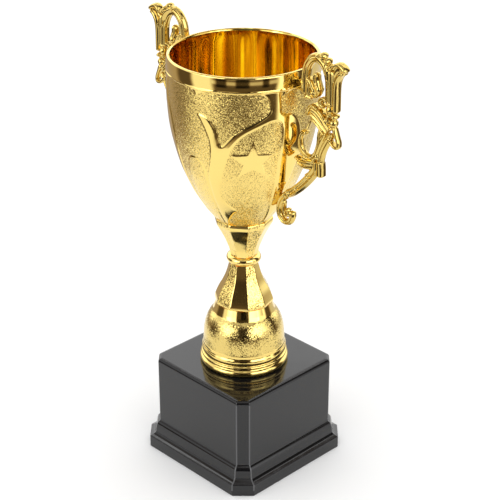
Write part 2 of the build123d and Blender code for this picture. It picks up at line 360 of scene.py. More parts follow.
# The section as (radius, height) in millimetres: the rim and its two rolled rings, a plain step, the
# bell, the neck, and back down the inside
foot_grain_low = 74.0
foot_grain_high = 93.5
foot_section = [(21.5, 60.6), (24.6, 60.5)]
foot_section += arc_points((23.9, 62.75), 2.25, -70, 60, 12)
foot_section += [(24.75, 65.1), (24.7, 65.45)]
foot_section += arc_points((24.35, 66.4), 0.95, -60, 60, 6)
foot_section += [(24.5, 67.45), (24.45, 67.75), (24.75, 68.1), (24.8, 69.4), (24.7, 70.8), (24.45, 71.2),
                 (24.2, 71.5), (24.15, 72.6), (24.1, 73.6), (24.0, 74.0)]
foot_section += [(23.9, 76), (23.75, 79), (23.45, 82), (22.9, 85), (22.1, 87.6), (21.1, 89.9), (20.0, 91.7),
                 (18.95, 92.9), (18.4, 93.5)]
foot_section += [(18.05, 94.2), (17.5, 95.9), (16.9, 97.8), (16.35, 99.5)]
foot_section += [(3.3, 99.5), (3.3, 97.8), (14.0, 97.8), (17.0, 93.0), (20.4, 88.5), (21.8, 84), (22.2, 78),
                 (22.3, 68.0)]
foot_piece = tidy_mesh("foot_bell", *turned(foot_section), sharp_degrees=60)
foot_piece.data.materials.append(gold_foot)
foot_piece.data.materials.append(gold_grained)
for face in foot_piece.data.polygons:
    looks_out = face.normal.to_2d().dot(face.center.to_2d()) > 0
    if looks_out and foot_grain_low < face.center.z / MM < foot_grain_high:
        face.material_index = 1
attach(foot_piece, "root")
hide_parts("foot")


# ==== Faceted stem ====================================================================================
# Two ten-sided mouldings with an arris towards each handle: a skirt that flares down over the foot and
# a funnel that holds the bowl. Every other flat is grained, the rest are polished like mirrors.

facet_count = 10
grained_flat = 1
arris_side = 0.056
arris_crown = 0.0175
gold_grained_fine = gold_finish("gold_grained_fine", roughness=0.12, grain=0.38, grain_size=2600.0)


def faceted(name, section, hollow):
    """A ten-sided body from its section, as (radius over the arrises, height), with a round bore."""
    rings = []
    for radius, height in section:
        corners = []
        for k in range(facet_count):
            angle = 2 * math.pi * k / facet_count
            corners.append(Vector((math.cos(angle), math.sin(angle))) * radius * MM)
        ring = []
        for k, corner in enumerate(corners):
            before = corners[k - 1] - corner
            after = corners[(k + 1) % facet_count] - corner
            for mix in (before * arris_side, (before + after) * arris_crown, after * arris_side):
                ring.append((corner.x + mix.x, corner.y + mix.y, height * MM))
        rings.append(ring)
    rings += [round_ring(radius, height, 3 * facet_count, -1) for radius, height in hollow]
    rings.append(rings[0])
    piece = tidy_mesh(name, *skin_rings(rings, close_start=False, close_end=False), sharp_degrees=60)
    even_normals(piece)
    piece.data.materials.append(gold_polished)
    piece.data.materials.append(gold_grained_fine)
    for face in piece.data.polygons:
        angle = math.degrees(math.atan2(face.center.y, face.center.x)) % 360
        flat = int(angle // (360 / facet_count))
        looks_out = face.normal.to_2d().dot(face.center.to_2d()) > 0.3 * face.center.to_2d().length
        if flat % 2 == grained_flat and looks_out and abs(face.normal.z) < 0.9:
            face.material_index = 1
    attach(piece, "root")
    return piece


skirt_section = [(15.9, 99.5), (17.1, 99.7), (17.4, 100.2), (17.4, 101.0), (17.15, 102.0), (16.75, 103.1),
                 (16.1, 105.0), (15.2, 107.0), (14.2, 109.0), (13.05, 110.9), (12.1, 112.9), (11.2, 114.8),
                 (10.5, 116.8), (9.9, 118.7), (9.4, 120.6), (8.85, 122.6), (8.35, 124.5)]
skirt_hollow = [(3.3, 124.5), (3.3, 116.0), (8.2, 115.8), (12.0, 106), (14.0, 99.5)]
skirt_piece = faceted("stem_skirt_facets", skirt_section, skirt_hollow)
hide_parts("stem_skirt")

funnel_section = [(8.4, 130.0), (8.5, 131.4), (8.75, 133.0), (9.25, 134.8), (9.95, 136.6), (10.85, 138.9),
                  (11.8, 141.2), (12.85, 143.4), (14.0, 145.6), (15.1, 147.6), (16.0, 149.3),
                  (16.55, 150.3), (16.85, 151.0), (17.0, 151.8), (17.05, 153.0), (16.9, 153.8),
                  (16.4, 154.1)]
funnel_hollow = [(12.9, 154.0), (12.9, 150.0), (3.3, 150.0), (3.3, 147.8), (11.4, 147.8), (7.2, 137.0),
                 (6.4, 130.0)]
funnel_piece = faceted("stem_funnel_facets", funnel_section, funnel_hollow)
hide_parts("stem_funnel")


# ==== Stem collar =====================================================================================
# A separate polished ring between the two faceted mouldings, threaded on the rod like a bead.

collar_section = [(3.3, 130.0), (3.3, 124.5), (7.6, 124.5), (8.3, 124.8)]
collar_section += arc_points((7.45, 127.25), 2.55, -62, 62, 14)
collar_section += [(8.3, 129.7), (7.6, 130.0)]
collar_piece = tidy_mesh("stem_collar_ring", *turned(collar_section), sharp_degrees=60)
collar_piece.data.materials.append(gold_polished)
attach(collar_piece, "root")
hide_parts("stem_collar")


# ==== Bowl ============================================================================================
# One thin moulding, metallised inside and out, with a clear amber lacquer inside. Its ground is grained
# in the mould. Curling bands, a star and the band round the rim stand proud of it and are polished.

bowl_outline = [(154.0, 16.2), (157.0, 18.5), (160.0, 20.75), (166.0, 24.6), (172.0, 28.1), (180.0, 31.8),
                (188.0, 35.0), (196.0, 37.35), (204.0, 39.3), (212.0, 40.75), (220.0, 41.55),
                (228.0, 41.95), (236.0, 41.95), (242.5, 41.75), (250.5, 41.4)]


def smooth_line(points, at):
    """A smooth curve through points, as (place, value), read at the places in at."""
    xs = np.array([p[0] for p in points])
    ys = np.array([p[1] for p in points])
    slope = np.gradient(ys, xs)
    index = np.clip(np.searchsorted(xs, at) - 1, 0, len(xs) - 2)
    step = xs[index + 1] - xs[index]
    t = (at - xs[index]) / step
    return ((2 * t ** 3 - 3 * t ** 2 + 1) * ys[index] + (t ** 3 - 2 * t ** 2 + t) * step * slope[index]
            + (3 * t ** 2 - 2 * t ** 3) * ys[index + 1] + (t ** 3 - t ** 2) * step * slope[index + 1])


# The grained grounds are drawn as (degrees round the cup, height in mm), and the bands are what is left
# between them. One panel and its band take leaf_pitch degrees. Two of them and an open ground with a low
# petal make half the cup.
leaf_pitch = 67.0
pattern_turn = -44.5
pattern_start = -83

upper_ground = [(-37.5, 243), (12, 243), (12.5, 241.6), (16, 240.5), (19, 238), (20.5, 235), (20.8, 232.6),
                (19.6, 230.4), (15, 228), (8, 225.2), (0, 222.6), (-5, 220), (-10, 216.6), (-14, 213.2),
                (-16.6, 211.3), (-18.3, 212.2), (-18.9, 214), (-19.2, 217.5), (-20.6, 221), (-23.5, 224.6),
                (-27, 227.1), (-31, 228.4), (-37.5, 228.9)]
petal_panel = [(24.5, 226.1), (21, 226.1), (18, 225.4), (12, 223.5), (6, 221.4), (0, 218.7), (-4, 216),
               (-8, 212.2), (-12, 206.8), (-15.2, 200.6), (-18.2, 194), (-21.3, 186), (-23.4, 179.5),
               (-22.4, 175), (-16, 171), (-8, 168.2), (-14, 165), (-22, 160.2), (-28, 156), (-31, 152),
               (38, 152), (34, 164), (31.8, 172), (30.6, 180), (29.8, 188), (29.5, 196), (29.4, 204),
               (29.8, 212), (29.9, 219), (29.2, 223), (27.5, 225.3)]
side_ground = [(27.4, 243), (31.0, 243), (31.0, 229.0), (29.5, 229.5), (28.0, 231.2), (27.8, 236)]
open_ground = [(-77, 243), (-35, 243), (-36, 229), (-32, 224.8), (-28, 219), (-25.4, 212.6), (-26.3, 205),
               (-28.6, 198), (-31.2, 191.5), (-31.6, 180), (-31.6, 168), (-33, 157), (-34, 152), (-70, 152),
               (-70.5, 165), (-69.5, 180), (-67.5, 194), (-66, 206), (-67, 215), (-70, 222), (-74, 227),
               (-78, 229)]
low_petal = [(-57, 152), (-57.5, 166), (-57, 180), (-55, 191), (-51.5, 198), (-47.5, 201.2), (-43, 201.6),
             (-38, 200), (-34.4, 196.6), (-33.2, 188), (-33.4, 172), (-36, 152)]
star_centre = (7.5, 203.0)
star_reach = 12.5
star_waist = 5.4
half_point = 36
far_off = 99.0


def outline_distance(outlines, degrees, heights, radii):
    """Signed distance in mm from each point to the nearest outline, negative inside any of them."""
    result = np.full(degrees.shape, far_off)
    per_degree = radii * math.pi / 180
    for outline in outlines:
        nearest = np.full(degrees.shape, 1e9)
        inside = np.zeros(degrees.shape, bool)
        for (d0, z0), (d1, z1) in zip(outline, outline[1:] + outline[:1]):
            ax, az = (degrees - d0) * per_degree, heights - z0
            bx, bz = (d1 - d0) * per_degree, z1 - z0
            along = np.clip((ax * bx + az * bz) / (bx * bx + bz * bz + 1e-12), 0, 1)
            nearest = np.minimum(nearest, (ax - along * bx) ** 2 + (az - along * bz) ** 2)
            if z0 != z1:
                edge_degrees = (d1 - d0) * (heights - z0) / (z1 - z0) + d0
                inside ^= ((z0 > heights) != (z1 > heights)) & (degrees < edge_degrees)
        nearest = np.sqrt(nearest)
        result = np.minimum(result, np.where(inside, -nearest, nearest))
    return result


def rounded(outline, rounds=2):
    """The outline with its corners cut back and smoothed."""
    for _ in range(rounds):
        softer = []
        for (d0, z0), (d1, z1) in zip(outline, outline[1:] + outline[:1]):
            softer.append((0.75 * d0 + 0.25 * d1, 0.75 * z0 + 0.25 * z1))
            softer.append((0.25 * d0 + 0.75 * d1, 0.25 * z0 + 0.75 * z1))
        outline = softer
    return outline


def turned_by(outline, degrees):
    """The outline moved round the cup."""
    return [(d + degrees, z) for d, z in outline]


bowl_columns = 360
outer_heights = np.concatenate([np.arange(154.0, 241.5, 0.5), np.arange(241.5, 250.0, 0.25)])
columns = np.arange(bowl_columns) * 360 / bowl_columns
grid_height, grid_angle = np.meshgrid(outer_heights, columns, indexing="ij")
plain_radius = smooth_line(bowl_outline, grid_height)

# degrees round the cup in the pattern's own half turn, which starts at pattern_start
pattern_angle = (grid_angle - pattern_turn - pattern_start) % 180 + pattern_start
grounds = []
for shift in (0, leaf_pitch):
    for outline in (upper_ground, petal_panel, side_ground):
        grounds.append(turned_by(rounded(outline), shift))
grounds.append(rounded(open_ground))
grounds.append(turned_by(rounded(open_ground), 180))
grounds.append(turned_by(rounded(upper_ground), -180 + leaf_pitch))
grounds.append(turned_by(rounded(side_ground), -180 + leaf_pitch))
ground_distance = outline_distance(grounds, pattern_angle, grid_height, plain_radius)
petal_distance = outline_distance([rounded(low_petal)], pattern_angle, grid_height, plain_radius)

# the star, folded about each of its five points so that one straight edge serves for all ten
star_x = (pattern_angle - star_centre[0]) * plain_radius * math.pi / 180
star_z = grid_height - star_centre[1]
star_span = np.hypot(star_x, star_z)
star_turn = (np.degrees(np.arctan2(star_x, star_z)) + half_point) % (2 * half_point) - half_point
tip = np.array([0.0, star_reach])
waist = np.array([math.sin(math.radians(half_point)), math.cos(math.radians(half_point))]) * star_waist
edge = waist - tip
edge_normal = np.array([-edge[1], edge[0]]) / np.linalg.norm(edge)
fold_x = np.abs(star_span * np.sin(np.radians(star_turn)))
fold_z = star_span * np.cos(np.radians(star_turn))
star_distance = (fold_x - tip[0]) * edge_normal[0] + (fold_z - tip[1]) * edge_normal[1]
star_distance = np.where(star_span < star_reach + 2, star_distance, far_off)


def step_up(distance, width):
    """0 well inside a distance, 1 well outside it, with a rounded slope of that width between."""
    t = np.clip(distance / width + 0.5, 0, 1)
    return t * t * (3 - 2 * t)


# how far each part of the relief stands out, and how far the ground lies under the plain outline
band_proud = 0.5
petal_proud = 0.3
star_proud = 0.35
bead_proud = 0.55
swell_proud = 0.22
ground_sunk = 0.35
band_slope = 0.9
petal_slope = 0.8
bead_height = 242.5
bead_half = 0.5
swell_height = 246.6
swell_half = 3.6
relief = band_proud * step_up(ground_distance, band_slope)
relief = np.maximum(relief, petal_proud * (1 - step_up(petal_distance, petal_slope)))
relief += star_proud * step_up(-star_distance, petal_slope)
rim_bead = bead_proud * np.exp(-((grid_height - bead_height) / bead_half) ** 2)
rim_swell = swell_proud * np.clip(1 - ((grid_height - swell_height) / swell_half) ** 2, 0, None)
outer_radius = plain_radius - ground_sunk + relief + rim_bead + rim_swell

# where the grain shows: 1 on the ground, 0 on the bands, with the petal's edge and the star polished
grain_mask = step_up(-ground_distance - 0.25, 0.7)
grain_mask *= 1 - np.exp(-(petal_distance / 0.55) ** 2)
grain_mask *= 1 - 0.85 * step_up(-star_distance, 0.6)

bowl_rings = []
bowl_grain = []


def bowl_ring(radii, height, grain=None):
    """Adds one level ring of the bowl; radii is one radius, or one for each column."""
    radii = np.full(bowl_columns, radii) if np.isscalar(radii) else radii
    turn = np.radians(columns)
    ring = np.stack([radii * np.cos(turn), radii * np.sin(turn), np.full(bowl_columns, height)], 1)
    bowl_rings.append(ring * MM)
    bowl_grain.append(np.zeros(bowl_columns) if grain is None else grain)


# the spigot, the outside, the rolled lip, the inside and the floor with the rod's hole
for radius, height in ((3.4, 150.0), (12.5, 150.0), (12.8, 150.3), (12.8, 153.7), (15.2, 153.9)):
    bowl_ring(radius, height)
for row, height in enumerate(outer_heights):
    bowl_ring(outer_radius[row], height, grain_mask[row])
lip_round = 1.0
lip_height = 249.9
lip_middle = outer_radius[-1].mean() - lip_round
for radius, height in arc_points((lip_middle, lip_height), lip_round, 10, 170, 9):
    bowl_ring(radius, height)
inner_outline = [(153.0, 6.0), (153.6, 11.6), (156.0, 15.0), (162.0, 19.4), (170.0, 24.8), (180.0, 29.7),
                 (190.0, 33.5), (200.0, 36.2), (212.0, 38.5), (228.0, 39.8), (240.0, 39.8), (249.6, 39.5)]
# the inside isn't quite round, because a thin moulding shrinks unevenly
ripple = sum(size * np.sin(order * np.radians(columns) + phase)
             for order, size, phase in ((5, 0.10, 0.4), (11, 0.12, 2.1), (19, 0.10, 4.4), (31, 0.03, 1.2)))
inner_heights = [np.arange(249.3, 232, -2.5), np.arange(232, 166, -3.0), np.arange(166, 153.5, -1.5)]
inner_heights = np.concatenate(inner_heights)
inner_top = inner_outline[-1][0]
for radius, height in zip(smooth_line(inner_outline, inner_heights), inner_heights):
    bowl_ring(radius + ripple * min((inner_top - height) / 4, 1), height)
for radius, height in ((11.4, 153.35), (10.2, 153.05), (3.4, 153.0), (3.4, 150.0)):
    bowl_ring(radius, height)
bowl_verts, bowl_faces = skin_rings(bowl_rings, close_start=False, close_end=False)
bowl_mesh = bpy.data.meshes.new("bowl_wall")
bowl_mesh.from_pydata([tuple(v) for v in bowl_verts], [], bowl_faces)
bowl_mesh.shade_smooth()
bowl_ground = bowl_mesh.attributes.new("ground", "FLOAT", "POINT")
bowl_ground.data.foreach_set("value", np.concatenate(bowl_grain).astype(np.float32))
bowl_piece = bpy.data.objects.new("bowl_wall", bowl_mesh)
bpy.context.scene.collection.objects.link(bowl_piece)
weld = bmesh.new()
weld.from_mesh(bowl_mesh)
bmesh.ops.remove_doubles(weld, verts=weld.verts, dist=0.00001)
bmesh.ops.recalc_face_normals(weld, faces=weld.faces)
weld.to_mesh(bowl_mesh)
weld.free()

gold_bowl, nodes, links, shader = new_material("gold_bowl", (0.96, 0.72, 0.225), 1.0, 0.08)
ground = nodes.new("ShaderNodeAttribute")
ground.attribute_name = "ground"
marks = add_group(nodes, handling, Wave_Scale=50.0, Haze_Scale=150.0, Roughness=0.07, Haze=0.05)
rough = add_maths(nodes, "MULTIPLY_ADD")
rough.inputs[1].default_value = 0.15
swell = add_node(nodes, "ShaderNodeBump", Strength=0.10, Distance=0.0006)
etched = add_group(nodes, grained, Size=3000.0)
depth = add_maths(nodes, "MULTIPLY")
depth.inputs[1].default_value = 0.46
links.new(ground.outputs["Fac"], rough.inputs[0])
links.new(marks.outputs["Roughness"], rough.inputs[2])
links.new(rough.outputs[0], shader.inputs["Roughness"])
links.new(marks.outputs["Height"], swell.inputs["Height"])
links.new(ground.outputs["Fac"], depth.inputs[0])
links.new(depth.outputs[0], etched.inputs["Tilt"])
links.new(swell.outputs["Normal"], etched.inputs["Normal"])
links.new(etched.outputs["Normal"], shader.inputs["Normal"])
bowl_mesh.materials.append(gold_bowl)

# painted reflection: soft vertical streaks of darker and lighter amber are painted into the inside's colour,
# standing in for the studio's reflections in the polished wall
gold_inside = gold_finish("gold_inside", colour=(0.80, 0.62, 0.18), roughness=0.06, haze=0.02)
nodes = gold_inside.node_tree.nodes
links = gold_inside.node_tree.links
place = nodes.new("ShaderNodeTexCoord")
drawn_out = add_maths(nodes, "MULTIPLY", "ShaderNodeVectorMath")
drawn_out.inputs[1].default_value = (1.0, 1.0, 0.06)
# painted reflection: noise stretched upright gives the light and dark streaks
painted_reflection_streaks = add_node(nodes, "ShaderNodeTexNoise", Scale=105.0, Detail=0.6, Roughness=0.5)
amber = nodes.new("ShaderNodeValToRGB")
amber.color_ramp.interpolation = "EASE"
amber.color_ramp.elements[0].position = 0.39
amber.color_ramp.elements[0].color = (0.60, 0.40, 0.09, 1)
amber.color_ramp.elements[1].position = 0.55
amber.color_ramp.elements[1].color = (1.0, 0.88, 0.28, 1)
links.new(place.outputs["Object"], drawn_out.inputs[0])
links.new(drawn_out.outputs["Vector"], painted_reflection_streaks.inputs["Vector"])
links.new(painted_reflection_streaks.outputs["Fac"], amber.inputs["Fac"])
links.new(amber.outputs["Color"], nodes["Principled BSDF"].inputs["Base Color"])
bowl_mesh.materials.append(gold_inside)
inside_from = 153.2 * MM
for face in bowl_mesh.polygons:
    if face.center.z > inside_from and face.normal.to_2d().dot(face.center.to_2d()) < 0:
        face.material_index = 1
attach(bowl_piece, "root")
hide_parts("bowl")


# ==== Handles =========================================================================================
# Flat scroll castings in the same gold-metallised plastic, pegged and glued into the bowl's wall at the
# rim band and low on the side. Both faces carry the same fluted stems, curls, beads and leaves.

handle_verts = []
handle_faces = []


def smooth_route(points, steps):
    """Evenly stepped points on a smooth curve through the given ones, and their distances along it."""
    points = np.array(points, float)
    padded = np.vstack([2 * points[0] - points[1], points, 2 * points[-1] - points[-2]])
    fine = []
    for k in range(len(points) - 1):
        p0, p1, p2, p3 = padded[k:k + 4]
        for t in np.arange(12) / 12:
            fine.append(0.5 * (2 * p1 + (p2 - p0) * t + (2 * p0 - 5 * p1 + 4 * p2 - p3) * t ** 2
                               + (3 * p1 - p0 - 3 * p2 + p3) * t ** 3))
    fine.append(points[-1])
    fine = np.array(fine)
    length = np.concatenate([[0], np.cumsum(np.linalg.norm(np.diff(fine[:, :2], axis=0), axis=1))])
    even = np.linspace(0, length[-1], steps)
    return np.stack([np.interp(even, length, fine[:, k]) for k in range(fine.shape[1])], 1), even


# the flutes across a band, by their number: their swing and how many waves they make
flutes = {1: (0.5, 2.0), 2: (-0.5, 2.7), 3: (0.5, 3.4)}
strand_step = 0.45


def strand(route, thick, grooves=0, depth=0.3, square=0.75, ends="round"):
    """A fluted band along a route of (distance out, height, half width); thick is its half thickness."""
    rough_length = sum(math.dist(a[:2], b[:2]) for a, b in zip(route, route[1:]))
    line, along = smooth_route(route, max(int(rough_length / strand_step), 6))
    tangent = np.gradient(line[:, :2], axis=0)
    tangent /= np.linalg.norm(tangent, axis=1)[:, None]
    ring_steps = 16 + 12 * grooves
    start = len(handle_verts)
    for place, (out, height, half) in enumerate(line):
        reach = min(along[place], along[-1] - along[place])
        cap = half if ends == "round" else 0.5
        shrink = math.sqrt(max(1 - max(1 - reach / cap, 0) ** 2, 0.02)) if ends != "open" else 1
        side = np.array([tangent[place, 1], -tangent[place, 0]])
        for step in range(ring_steps):
            angle = 2 * math.pi * step / ring_steps
            across = math.copysign(abs(math.cos(angle)) ** 0.85, math.cos(angle))
            up = math.copysign(abs(math.sin(angle)) ** square, math.sin(angle))
            if grooves:
                swing, waves = flutes[grooves]
                up *= 1 - depth * (0.5 + swing * math.cos(waves * math.pi * across))
            x = out + side[0] * across * half * shrink
            z = height + side[1] * across * half * shrink
            handle_verts.append((x * MM, up * thick * shrink * MM, z * MM))
    for row in range(len(line) - 1):
        for step in range(ring_steps):
            after = (step + 1) % ring_steps
            low = start + row * ring_steps
            handle_faces.append((low + step, low + after, low + ring_steps + after, low + ring_steps + step))
    handle_faces.append(tuple(start + k for k in reversed(range(ring_steps))))
    handle_faces.append(tuple(start + (len(line) - 1) * ring_steps + k for k in range(ring_steps)))


def bead(out, height, wide, tall, thick, tilt=0.0):
    """An egg-shaped bead, tilted in the handle's plane by degrees."""
    start = len(handle_verts)
    turn = math.radians(tilt)
    rows, steps = 12, 20
    for row in range(rows + 1):
        polar = math.pi * (0.02 + 0.96 * row / rows)
        for step in range(steps):
            angle = 2 * math.pi * step / steps
            u = wide * math.sin(polar) * math.cos(angle)
            w = tall * math.cos(polar)
            x = out + u * math.cos(turn) - w * math.sin(turn)
            z = height + u * math.sin(turn) + w * math.cos(turn)
            handle_verts.append((x * MM, thick * math.sin(polar) * math.sin(angle) * MM, z * MM))
    for row in range(rows):
        for step in range(steps):
            after = (step + 1) % steps
            low = start + row * steps
            handle_faces.append((low + step, low + after, low + steps + after, low + steps + step))
    handle_faces.append(tuple(start + k for k in reversed(range(steps))))
    handle_faces.append(tuple(start + rows * steps + k for k in range(steps)))


# the hook over the rim, its foot on the wall, and the curled finger inside it
strand([(46.9, 238.8, 2.3), (46.7, 244, 2.6), (47.0, 250, 2.6), (48.3, 255.8, 2.6), (51.6, 260.0, 2.6),
        (55.6, 261.2, 2.6), (59.6, 259.0, 2.6), (62.2, 254.5, 2.3), (63.0, 249.0, 1.6)], 2.4, grooves=2,
        depth=0.34)
strand([(41.2, 244.0, 3.3), (43.5, 244.0, 3.2), (46.0, 244.0, 2.9)], 2.5, square=0.5, ends="open")
strand([(50.0, 247.4, 1.2), (49.8, 243.0, 1.7), (50.2, 239.6, 1.9), (52.4, 239.4, 1.7)], 2.5, grooves=1,
        depth=0.3)
strand([(50.4, 240.8, 1.6), (53.6, 240.6, 1.8), (56.1, 242.8, 1.9), (55.9, 246.0, 2.0), (54.6, 248.8, 2.2),
        (54.4, 251.2, 2.2), (54.8, 253.4, 1.8)], 2.4, grooves=1, depth=0.4)
strand([(49.4, 248.8, 1.1), (51.2, 247.2, 1.3), (52.8, 244.4, 1.3), (54.8, 242.2, 0.9)], 2.8)
bead(56.5, 244.4, 2.0, 2.2, 2.8)
bead(53.2, 242.0, 2.2, 1.0, 3.1, -50)
bead(48.6, 238.7, 1.8, 1.6, 2.9)
bead(49.2, 248.4, 1.7, 1.1, 2.9, 20)

# leaves and beads on the crown
strand([(54.4, 262.6, 0.9), (57.2, 261.8, 1.1), (60.6, 259.4, 1.2), (62.8, 255.6, 1.1), (63.4, 251.0, 0.8)],
        3.1)
bead(56.0, 262.6, 1.5, 1.3, 2.6, 30)
bead(58.9, 263.3, 2.0, 1.7, 3.0, -30)
bead(62.0, 261.0, 1.6, 2.0, 3.1, 25)
bead(64.6, 258.9, 2.0, 1.2, 2.9, 10)

# the fluted shaft and its trumpet tip
strand([(64.7, 237.5, 3.2), (64.7, 246, 3.2), (64.4, 252, 3.2), (64.3, 257.5, 2.5)], 2.7, grooves=3,
        depth=0.24, square=0.5)
strand([(68.5, 234.4, 1.5), (68.5, 240, 1.45), (68.5, 248, 1.45), (69.3, 252.8, 1.5), (71.4, 256.2, 1.4),
        (74.2, 257.6, 1.0)], 2.7, square=0.75)
strand([(67.0, 251.0, 1.4), (67.6, 255.6, 1.7), (69.8, 258.4, 1.6), (72.6, 258.6, 1.2)], 1.7)
strand([(66.6, 257.8, 0.9), (68.2, 260.4, 1.2), (70.4, 261.1, 1.35), (73.2, 259.9, 1.25),
        (75.0, 258.0, 1.1)], 2.7)

# the ring, bulb and bead under the shaft, and the small curl beside them
bead(64.6, 239.0, 2.8, 0.9, 3.1)
bead(64.6, 235.6, 2.5, 2.8, 3.0)
bead(64.8, 235.4, 1.1, 1.1, 3.6)
strand([(62.6, 239.6, 1.1), (59.9, 240.3, 1.2), (57.7, 238.4, 1.3), (58.9, 236.0, 1.2), (61.0, 236.6, 1.0)],
        2.2)
bead(64.2, 232.4, 2.5, 1.2, 3.0, 8)
bead(67.9, 232.5, 1.8, 1.5, 3.0)
bead(66.8, 228.6, 2.4, 2.5, 2.8)
bead(63.4, 229.6, 1.8, 1.5, 2.8, -30)

# the ribbed horn that opens towards the bowl
strand([(51.7, 231.9, 3.9), (54.6, 231.0, 4.0), (58.2, 228.6, 3.6), (61.4, 225.8, 3.0), (64.4, 223.2, 2.2)],
        3.0, grooves=2, depth=0.45, ends="blunt")
strand([(49.8, 228.2, 0.9), (50.0, 230.8, 1.1), (51.4, 233.8, 1.1), (53.9, 235.6, 0.9)], 3.3)
strand([(56.6, 234.2, 0.8), (60.2, 231.4, 1.0), (63.0, 227.6, 1.0), (66.4, 224.8, 1.0)], 3.1)
strand([(52.0, 227.4, 0.7), (56.0, 225.6, 0.9), (59.6, 222.4, 0.9), (62.4, 219.6, 0.8)], 2.6)

# the thorn, and the stems down to the lower scroll with the thin web between them
strand([(67.2, 226.8, 1.5), (69.0, 222.6, 1.15), (70.7, 218.4, 1.0), (70.3, 215.9, 0.95),
        (68.2, 215.7, 0.9), (65.8, 217.4, 0.9), (63.6, 219.8, 0.9)], 2.0)
strand([(60.6, 222.0, 2.0), (60.0, 218.5, 1.6), (58.6, 214.5, 0.8)], 0.9)
strand([(61.0, 226.0, 1.9), (58.0, 220.6, 1.9), (57.2, 213.6, 1.9), (54.8, 207.4, 1.9), (50.4, 203.6, 1.6)],
        2.0, grooves=1, depth=0.4)
strand([(66.6, 222.6, 1.7), (62.9, 216.6, 2.0), (59.9, 210.6, 2.0), (58.4, 204.6, 2.0), (58.4, 200.0, 1.9)],
        2.2, grooves=1, depth=0.45)
strand([(62.8, 222.4, 0.9), (59.7, 216.4, 1.0), (57.4, 211.0, 1.0), (55.8, 207.0, 0.9)], 2.6)
bead(56.4, 206.8, 1.3, 2.4, 3.0, -28)
strand([(47.8, 218.4, 1.2), (45.4, 217.3, 1.5), (43.9, 213.8, 1.6), (44.1, 209.4, 1.7), (46.4, 205.9, 1.8),
        (50.2, 204.6, 1.7), (54.4, 205.6, 1.4), (56.6, 208.0, 1.0)], 1.9, grooves=1, depth=0.25)
bead(47.6, 218.0, 1.7, 1.4, 2.2, 20)

# the leaf at the foot of the scroll and the square end
strand([(41.4, 202.3, 0.9), (44.4, 201.2, 1.3), (49.0, 201.0, 1.4), (54.6, 202.2, 1.2)], 2.4)
strand([(42.9, 199.6, 0.8), (46.6, 198.6, 1.3), (51.0, 199.2, 1.4), (55.6, 201.0, 1.2)], 2.2)
strand([(45.2, 203.8, 0.9), (49.4, 202.8, 1.0), (54.8, 203.8, 1.0)], 2.7)
bead(41.6, 202.1, 1.3, 1.1, 2.6)
bead(43.0, 199.7, 1.2, 1.0, 2.4)
strand([(58.4, 204.6, 1.7), (58.7, 200.4, 1.9), (58.6, 195.8, 2.2)], 2.6, square=0.4, ends="blunt")
strand([(55.6, 204.0, 1.0), (55.6, 200.0, 1.0), (56.0, 195.9, 1.1)], 2.3, square=0.5, ends="blunt")

# the lower stem, its collars and the volute
strand([(56.6, 200.8, 2.9), (51.0, 193.2, 2.9), (45.3, 186.8, 2.8), (39.4, 181.3, 2.6), (33.6, 177.2, 2.3)],
        2.5, grooves=1, depth=0.6)
strand([(53.6, 193.4, 0.6), (50.6, 193.0, 0.7), (48.4, 195.0, 0.6)], 2.3)
strand([(43.6, 183.0, 0.6), (41.6, 183.4, 0.7), (40.2, 185.0, 0.6)], 2.3)
strand([(37.6, 177.4, 0.9), (36.4, 178.9, 1.0), (34.6, 181.2, 0.9)], 3.0)
strand([(34.6, 175.4, 0.8), (33.6, 176.8, 0.9), (32.2, 178.8, 0.8)], 2.8)
strand([(35.0, 177.6, 2.1), (31.0, 174.6, 2.1), (28.9, 169.4, 2.0), (29.3, 164.2, 2.0), (32.5, 161.2, 1.9),
        (36.3, 161.9, 1.9), (38.4, 165.4, 1.9), (38.2, 169.2, 1.9)], 2.2, grooves=1, depth=0.35)
strand([(32.4, 173.4, 0.9), (32.0, 168.4, 0.9), (33.4, 165.2, 0.9), (35.5, 165.7, 0.9), (35.6, 168.0, 1.0)],
        1.7)
bead(35.2, 168.6, 1.3, 1.3, 2.3)

# the parts are fused into one casting, whose edges are then softened a little
handle_right_piece = tidy_mesh("handle_right_scroll", handle_verts, handle_faces)
fuse = handle_right_piece.modifiers.new("fuse", "REMESH")
fuse.mode = "VOXEL"
fuse.voxel_size = 0.30 * MM
soften = handle_right_piece.modifiers.new("soften", "SMOOTH")
soften.factor = 0.5
soften.iterations = 3
worked_out = bpy.context.evaluated_depsgraph_get()
shaped = bpy.data.meshes.new_from_object(handle_right_piece.evaluated_get(worked_out))
handle_right_piece.modifiers.clear()
handle_right_piece.data = shaped
shaped.name = "handle_right_scroll"
shaped.shade_smooth()
shaped.materials.clear()
# painted shade: the handles' gold is darker than the bowl's, standing in for the shade between their
# strands, curls and beads
gold_handle = gold_finish("gold_handle", colour=(0.72, 0.52, 0.145), roughness=0.11, haze=0.06, wave=0.05)
shaped.materials.append(gold_handle)
mirrored = shaped.copy()
mirrored.name = "handle_left_scroll"
points = np.empty(len(mirrored.vertices) * 3, np.float32)
mirrored.vertices.foreach_get("co", points)
points[0::3] *= -1
mirrored.vertices.foreach_set("co", points)
mirrored.flip_normals()
mirrored.update()
handle_left_piece = bpy.data.objects.new("handle_left_scroll", mirrored)
bpy.context.scene.collection.objects.link(handle_left_piece)
for piece, node in ((handle_right_piece, "handle_right"), (handle_left_piece, "handle_left")):
    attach(piece, "root")
    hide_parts(node)


# ==== Floor and studio ================================================================================
# A pale seamless floor in even white light. What the polished parts reflect is set apart from that: a
# softbox at each side, high striped banks behind and overhead, and dark stands in an unlit brown room.

table_centre = 0.1 * MM
table_reach = 0.30
floor_reach = 4.0
floor_paper, nodes, links, shader = new_material("floor_paper", (0.93, 0.93, 0.93), 0.0, 0.9)


